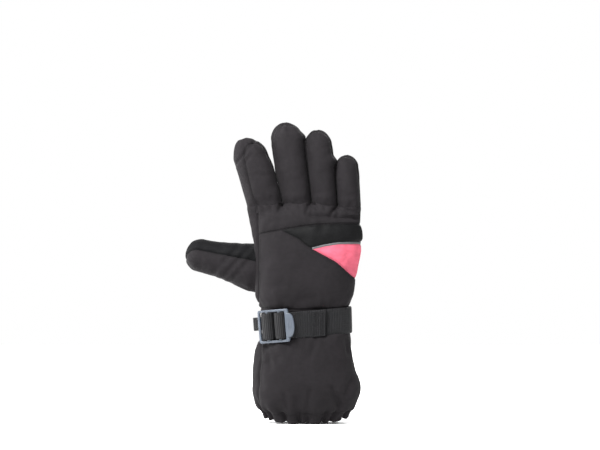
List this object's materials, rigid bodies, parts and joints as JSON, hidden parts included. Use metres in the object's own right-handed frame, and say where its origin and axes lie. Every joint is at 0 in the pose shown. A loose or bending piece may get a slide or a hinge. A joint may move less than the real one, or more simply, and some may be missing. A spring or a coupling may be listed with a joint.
{
  "type": "ski glove",
  "caption": "Insulated right-hand ski glove with woven shell, pink accent panel, wrist strap with ladder-lock buckle and gathered cuff.",
  "frame": {"origin": "middle of the bounding box, on the plane of the cuff hem that the glove stands on", "axes": "+Z from the cuff to the fingertips, -Y out of the back of the hand, -X towards the thumb"},
  "size_m": [0.164, 0.0569, 0.2829],
  "materials": {
    "shell": "matte woven shell, warm charcoal",
    "smooth": "near-black smooth softshell",
    "accent": "matte woven shell, coral pink",
    "piping": "grey reflective piping",
    "leather": "black fine-grained polyurethane",
    "patch": "black grained reinforcement",
    "webbing": "black ribbed polypropylene webbing",
    "buckle_plastic": "satin light steel-grey acetal",
    "padding": "polyester wadding",
    "fleece": "brushed fleece, dark grey",
    "elastic": "knitted elastic",
    "label": "blank satin label"
  },
  "bodies": {
    "hand": {"buckle_anchor": "webbing", "knuckle_panel": "shell", "black_insert": "smooth", "reflective_piping": "piping", "accent_panel": "accent", "back_hand_panel": "shell", "thumb_side_panel": "shell", "palm_panel": "leather", "palm_patch": "patch", "gauntlet_back_panel": "shell", "gauntlet_side_panel": "shell", "gauntlet_palm_panel": "shell", "hem_casing": "shell", "hem_elastic": "elastic", "hand_back_insulation": "padding", "hand_palm_insulation": "padding", "gauntlet_back_insulation": "padding", "gauntlet_palm_insulation": "padding", "wrist_elastic": "elastic", "lining": "fleece", "care_label": "label", "wrist_strap": "webbing"},
    "index_base": {"index_back_panel": "shell", "index_side_strip": "shell", "index_palm_panel": "leather", "index_insulation_base": "padding"},
    "index_tip": {"index_insulation_tip": "padding"},
    "middle_base": {"middle_back_panel": "shell", "middle_side_strip": "shell", "middle_palm_panel": "leather", "middle_insulation_base": "padding"},
    "middle_tip": {"middle_insulation_tip": "padding"},
    "ring_base": {"ring_back_panel": "shell", "ring_side_strip": "shell", "ring_palm_panel": "leather", "ring_insulation_base": "padding"},
    "ring_tip": {"ring_insulation_tip": "padding"},
    "little_base": {"little_back_panel": "shell", "little_side_strip": "shell", "little_palm_panel": "leather", "little_insulation_base": "padding"},
    "little_tip": {"little_insulation_tip": "padding"},
    "thumb_base": {"thumb_back_panel": "shell", "thumb_palm_panel": "leather", "thumb_insulation_base": "padding"},
    "thumb_tip": {"thumb_insulation_tip": "padding"},
    "buckle": {"buckle_frame": "buckle_plastic", "strap_bight": "webbing"},
    "tail": {"strap_tail": "webbing"}
  },
  "joints": [
    {"name": "index_knuckle", "type": "hinge", "parent": "hand", "child": "index_base", "pos_m": [-0.00933, 0.00291, 0.206], "axis": [-0.9681, 0, -0.2504], "range_deg": [0, 55], "stiffness_Nm_per_rad": 0.08, "deforming": ["index_back_panel", "index_side_strip", "index_palm_panel", "lining", "palm_panel", "knuckle_panel", "thumb_side_panel"]},
    {"name": "index_bend", "type": "hinge", "parent": "index_base", "child": "index_tip", "pos_m": [-0.01707, 0.00561, 0.2359], "axis": [-0.9681, 0, -0.2504], "range_deg": [0, 55], "stiffness_Nm_per_rad": 0.08, "deforming": ["index_back_panel", "index_side_strip", "index_palm_panel", "lining"]},
    {"name": "middle_knuckle", "type": "hinge", "parent": "hand", "child": "middle_base", "pos_m": [0.02147, 0.00291, 0.207], "axis": [-0.9882, 0, -0.153], "range_deg": [0, 55], "stiffness_Nm_per_rad": 0.08, "deforming": ["middle_back_panel", "middle_side_strip", "middle_palm_panel", "lining", "palm_panel", "knuckle_panel"]},
    {"name": "middle_bend", "type": "hinge", "parent": "middle_base", "child": "middle_tip", "pos_m": [0.01567, 0.00622, 0.24441], "axis": [-0.9882, 0, -0.153], "range_deg": [0, 55], "stiffness_Nm_per_rad": 0.08, "deforming": ["middle_back_panel", "middle_side_strip", "middle_palm_panel", "lining"]},
    {"name": "ring_knuckle", "type": "hinge", "parent": "hand", "child": "ring_base", "pos_m": [0.04687, 0.00291, 0.2055], "axis": [-0.9962, 0, -0.0872], "range_deg": [0, 55], "stiffness_Nm_per_rad": 0.08, "deforming": ["ring_back_panel", "ring_side_strip", "ring_palm_panel", "lining", "palm_panel", "knuckle_panel"]},
    {"name": "ring_bend", "type": "hinge", "parent": "ring_base", "child": "ring_tip", "pos_m": [0.04383, 0.00596, 0.24023], "axis": [-0.9962, 0, -0.0872], "range_deg": [0, 55], "stiffness_Nm_per_rad": 0.08, "deforming": ["ring_back_panel", "ring_side_strip", "ring_palm_panel", "lining"]},
    {"name": "little_knuckle", "type": "hinge", "parent": "hand", "child": "little_base", "pos_m": [0.07007, 0.00291, 0.2025], "axis": [-0.9982, 0, -0.0593], "range_deg": [0, 55], "stiffness_Nm_per_rad": 0.08, "deforming": ["little_back_panel", "little_side_strip", "little_palm_panel", "lining", "palm_panel", "knuckle_panel"]},
    {"name": "little_bend", "type": "hinge", "parent": "little_base", "child": "little_tip", "pos_m": [0.06859, 0.00509, 0.22736], "axis": [-0.9982, 0, -0.0593], "range_deg": [0, 55], "stiffness_Nm_per_rad": 0.08, "deforming": ["little_back_panel", "little_side_strip", "little_palm_panel", "lining"]},
    {"name": "thumb_root", "type": "hinge", "parent": "hand", "child": "thumb_base", "pos_m": [-0.01953, 0.01091, 0.1465], "axis": [-0.225, 0, -0.9744], "range_deg": [0, 40], "stiffness_Nm_per_rad": 0.08, "deforming": ["thumb_back_panel", "thumb_palm_panel", "lining"]},
    {"name": "thumb_bend", "type": "hinge", "parent": "thumb_base", "child": "thumb_tip", "pos_m": [-0.04957, 0.01415, 0.15343], "axis": [-0.225, 0, -0.9744], "range_deg": [0, 40], "stiffness_Nm_per_rad": 0.08, "deforming": ["thumb_back_panel", "thumb_palm_panel", "lining"]},
    {"name": "buckle_tilt", "type": "hinge", "parent": "hand", "child": "buckle", "pos_m": [-0.00638, -0.01662, 0.09162], "axis": [0.0808, -0.0326, -0.9962], "range_deg": [0, 23], "stiffness_Nm_per_rad": 0.02, "deforming": ["buckle_anchor"]},
    {"name": "tail_slide", "type": "slide", "parent": "buckle", "child": "tail", "axis": [0.9962, 0, 0.0872], "range_m": [0, 0.012]}
  ]
}
